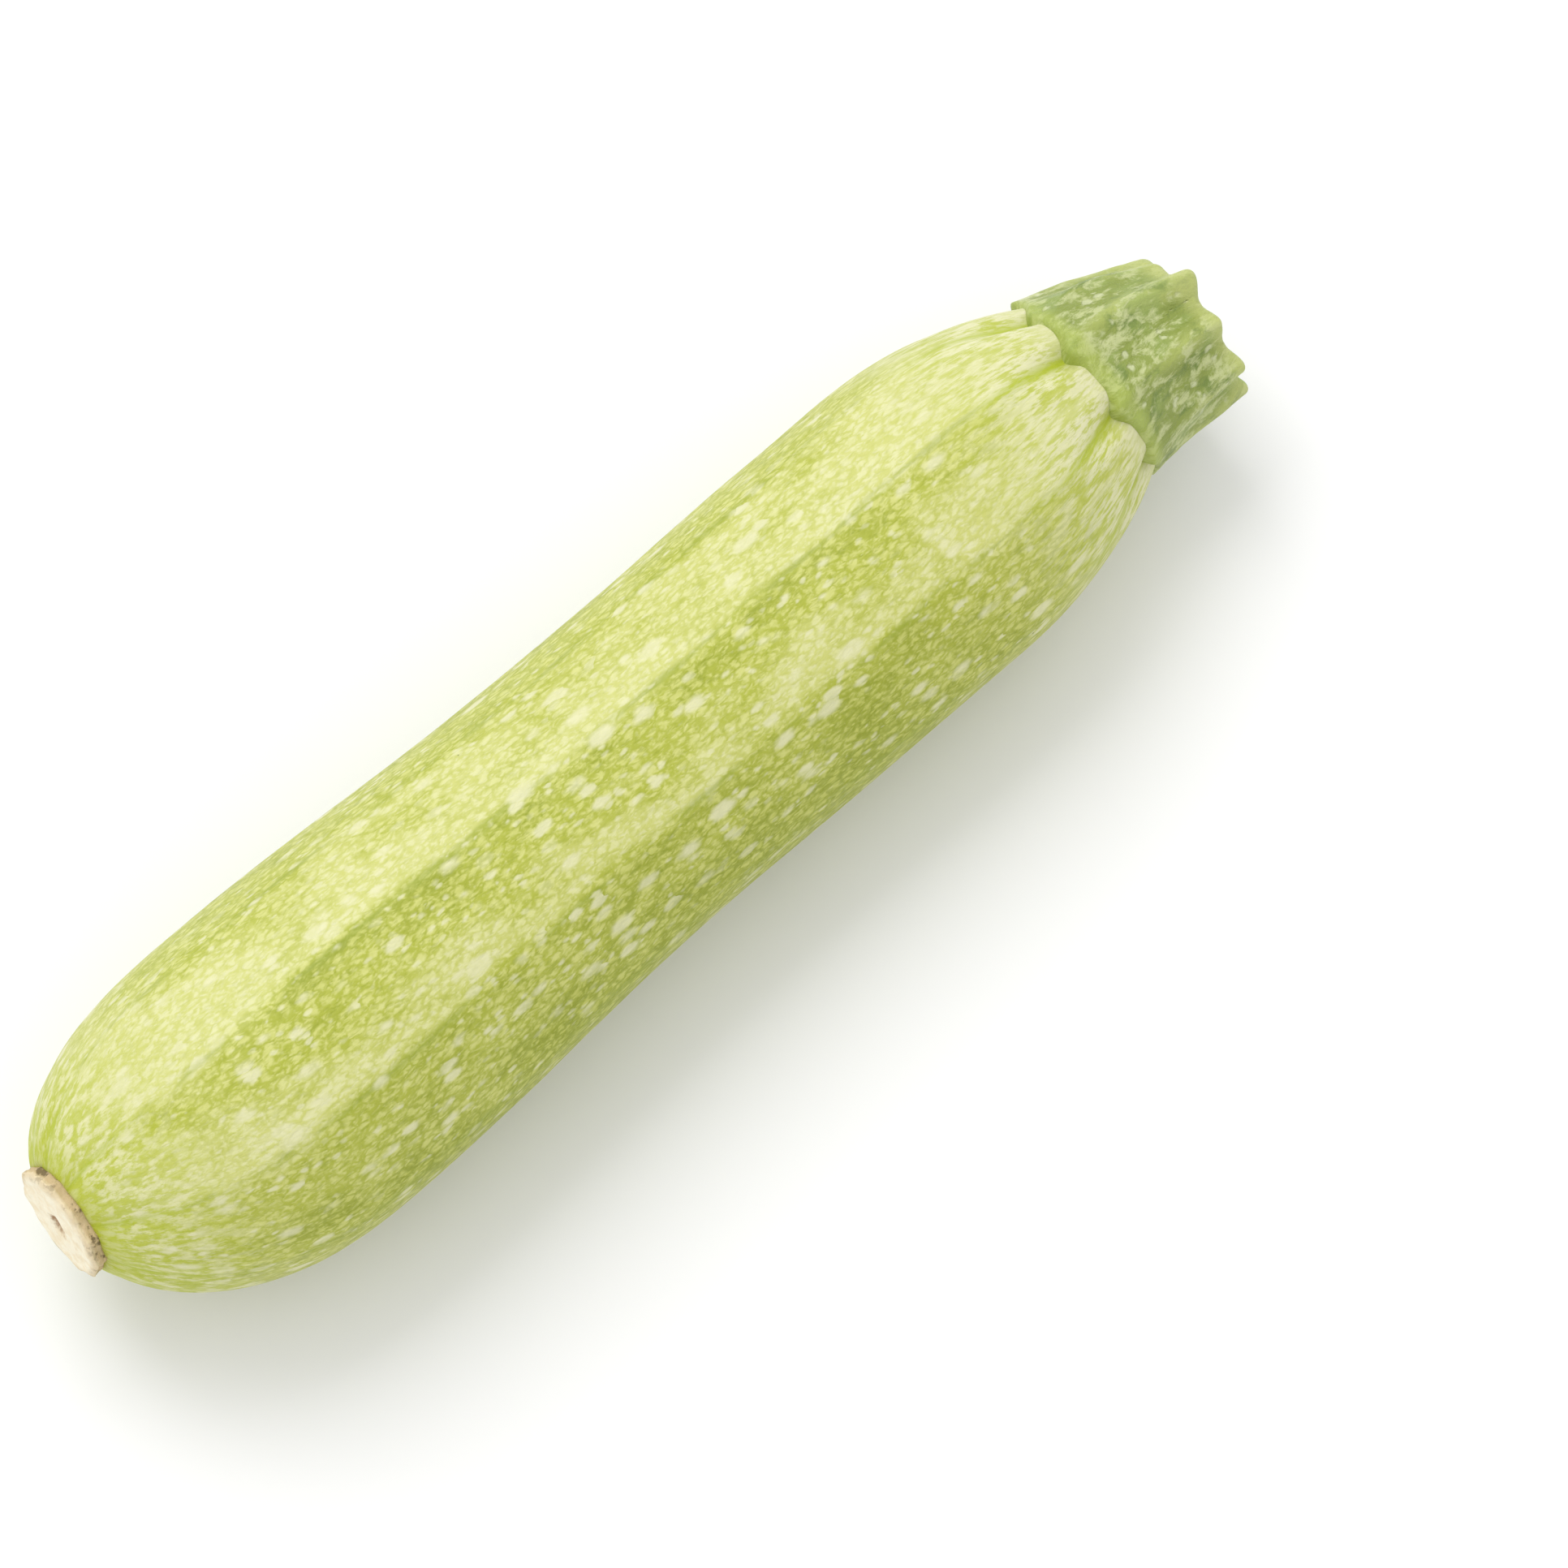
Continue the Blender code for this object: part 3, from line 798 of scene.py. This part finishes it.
    g.put(g.shader.inputs["Base Color"], colour)
    g.put(g.shader.inputs["Roughness"], g.step(g.noise(wavy, 0.8, 2.0), 0.3, 0.7, 0.38, 0.54))
    g.shader.inputs["IOR"].default_value = 1.38
    g.shader.inputs["Subsurface Weight"].default_value = 0.06
    g.shader.inputs["Subsurface Radius"].default_value = (1.0, 0.9, 0.3)
    g.shader.inputs["Subsurface Scale"].default_value = 0.001
    fine_grain = g.noise(g.scaled(grown, (0.7, 1.0, 1.0)), 3.2, 2.0)
    normal = g.relief(uneven, 0.06 * MM)
    normal = g.relief(fibres, 0.08 * MM, normal)
    g.put(g.shader.inputs["Normal"], g.relief(fine_grain, 0.03 * MM, normal))
    return g.material


def stem_material():
    g = Graph("courgette stem")
    grown = g.attribute("grown").outputs["Vector"]
    ridge = g.number("ridge")
    way = g.number("way")
    on_cut = g.number("on_cut")
    from_axis = g.number("from_axis")
    long = g.wander(g.scaled(grown, (0.5, 1.0, 1.0)), 0.6, 1.1)

    # Painted shade and light: darker green in the valleys between the ridges and paler on their crests,
    # read from each point's height above the valley.
    colour = g.mix(g.step(ridge, 0.1, 1.5), lit(150, 166, 70), lit(186, 198, 104))
    smooth_patch = g.step(g.noise(g.scaled(grown, (0.6, 1.0, 1.0)), 0.24, 2.0), 0.5, 0.64)
    colour = g.mix(g.math("MULTIPLY", smooth_patch, 0.5), colour, lit(160, 182, 96))
    dark = g.step(g.noise(g.moved(long, (4.0, 1.0, 9.0)), 0.45, 4.0, 0.6), 0.5, 0.66)
    colour = g.mix(g.math("MULTIPLY", dark, 0.75), colour, lit(116, 140, 56))
    whitish = g.step(g.noise(long, 0.6, 5.0, 0.7), 0.46, 0.62)
    colour = g.mix(g.math("MULTIPLY", whitish, 0.85), colour, lit(216, 223, 160))
    dots = g.spots(g.wander(g.scaled(grown, (0.7, 1.0, 1.0)), 1.3, 0.9), 0.7, 0.8, 0.45, 0.25)
    colour = g.mix(g.math("MULTIPLY", dots, 0.75), colour, lit(226, 232, 182))
    colour = g.mix(g.step(way, 0.84, 1.0, 0.0, 0.65), colour, lit(208, 216, 128))
    colour = g.mix(g.step(way, 0.14, 0.02, 0.0, 0.55), colour, lit(190, 206, 92))

    # The cut: pale wet flesh, greener towards its edge.
    flesh = g.mix(g.step(from_axis, 3.0, 10.5), lit(214, 222, 152), lit(174, 196, 98))
    mottled = g.noise(grown, 0.5, 4.0, 0.6)
    flesh = g.mix(g.step(mottled, 0.4, 0.65, 0.0, 0.5), flesh, lit(190, 206, 124))
    colour = g.mix(on_cut, colour, flesh)

    g.put(g.shader.inputs["Base Color"], colour)
    g.put(g.shader.inputs["Roughness"], g.step(g.noise(long, 0.6, 2.0), 0.3, 0.7, 0.42, 0.6))
    g.shader.inputs["Subsurface Weight"].default_value = 0.05
    g.shader.inputs["Subsurface Radius"].default_value = (0.8, 1.0, 0.3)
    g.shader.inputs["Subsurface Scale"].default_value = 0.0015
    normal = g.relief(g.noise(long, 1.3, 4.0, 0.6), 0.4 * MM)
    g.put(g.shader.inputs["Normal"], g.relief(dots, 0.1 * MM, normal))
    return g.material


def scar_material():
    g = Graph("courgette flower scar")
    grown = g.attribute("grown").outputs["Vector"]
    from_axis = g.number("from_axis")
    side = g.step(g.number("proud"), 1.45, 0.95)
    patchy = g.noise(grown, 0.5, 4.0, 0.6)
    # The scar's own cream, set brighter than that colour as painted light, to make up for the little
    # light that falls on its face.
    colour = g.mix(g.step(patchy, 0.42, 0.62), (0.95, 0.88, 0.68, 1.0), (0.9, 0.79, 0.56, 1.0))
    edge = g.step(from_axis, 6.4, 7.7)
    colour = g.mix(g.math("MULTIPLY", edge, 0.7), colour, lit(240, 214, 164))
    colour = g.mix(g.math("MULTIPLY", side, 0.7), colour, lit(218, 188, 136))
    weathered = g.math("MAXIMUM", side, g.math("MULTIPLY", edge, 0.5))
    brown = g.math("MULTIPLY", g.step(g.noise(grown, 0.4, 4.0, 0.65), 0.51, 0.6), weathered)
    colour = g.mix(g.math("MULTIPLY", brown, 0.85), colour, lit(116, 98, 60))
    ragged = g.math("ADD", from_axis, g.math("MULTIPLY", g.noise(grown, 1.2, 3.0), 2.4))
    colour = g.mix(g.step(ragged, 3.1, 2.1, 0.0, 0.9), colour, lit(180, 132, 84))
    g.put(g.shader.inputs["Base Color"], colour)
    g.put(g.shader.inputs["Roughness"], g.step(patchy, 0.3, 0.7, 0.75, 0.92))
    g.put(g.shader.inputs["Normal"], g.relief(g.noise(grown, 1.6, 5.0, 0.65), 0.3 * MM))
    return g.material


def floor_material():
    g = Graph("white floor")
    tone = g.noise(g.node("ShaderNodeTexCoord", {}).outputs["Object"], 3.0, 2.0)
    g.put(g.shader.inputs["Base Color"], g.mix(tone, (0.85, 0.85, 0.855, 1), (0.865, 0.865, 0.87, 1)))
    g.shader.inputs["Roughness"].default_value = 0.9
    g.shader.inputs["Specular IOR Level"].default_value = 0.1
    return g.material


# ---------------------------------------------------------------- studio

def make_floor():
    bpy.ops.mesh.primitive_plane_add(size=FLOOR_SIZE)
    floor = bpy.context.object
    floor.name = "studio_floor"
    floor.data.materials.append(floor_material())


def toward(azimuth, elevation):
    a, e = math.radians(azimuth), math.radians(elevation)
    return Vector((math.cos(a) * math.cos(e), math.sin(a) * math.cos(e), math.sin(e)))


def aim(thing, place, target):
    thing.location = place
    thing.rotation_euler = (target - place).to_track_quat("-Z", "Y").to_euler()


def add_key_light(azimuth, elevation, distance, size, power):
    light = bpy.data.lights.new("key", "AREA")
    light.shape = "SQUARE"
    light.size = size
    light.energy = power
    lamp = bpy.data.objects.new("key", light)
    bpy.context.scene.collection.objects.link(lamp)
    aim(lamp, toward(azimuth, elevation) * distance, Vector((0, 0, 0.02)))


def make_light():
    add_key_light(CAMERA_AZIMUTH + 215, elevation=58, distance=1.3, size=0.8, power=KEY_POWER)
    world = bpy.data.worlds.new("studio")
    world.use_nodes = True
    world.node_tree.nodes["Background"].inputs["Color"].default_value = (1, 1, 1, 1)
    world.node_tree.nodes["Background"].inputs["Strength"].default_value = WORLD_STRENGTH
    bpy.context.scene.world = world
    bpy.context.scene.view_settings.view_transform = "Standard"


def make_camera():
    low, high = cad_box
    data = bpy.data.cameras.new("camera")
    data.lens = LENS
    camera = bpy.data.objects.new("camera", data)
    bpy.context.scene.collection.objects.link(camera)
    target = (low + high) / 2 + AIM_OFFSET
    aim(camera, target + toward(CAMERA_AZIMUTH, CAMERA_ELEVATION) * CAMERA_DISTANCE, target)
    bpy.context.scene.camera = camera


def finish_piece(piece, material):
    piece.data.materials.append(material)
    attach(piece, "root")


finish_piece(make_fruit(), skin_material())
finish_piece(make_stem(), stem_material())
finish_piece(make_scar(), scar_material())
make_floor()
make_light()
make_camera()
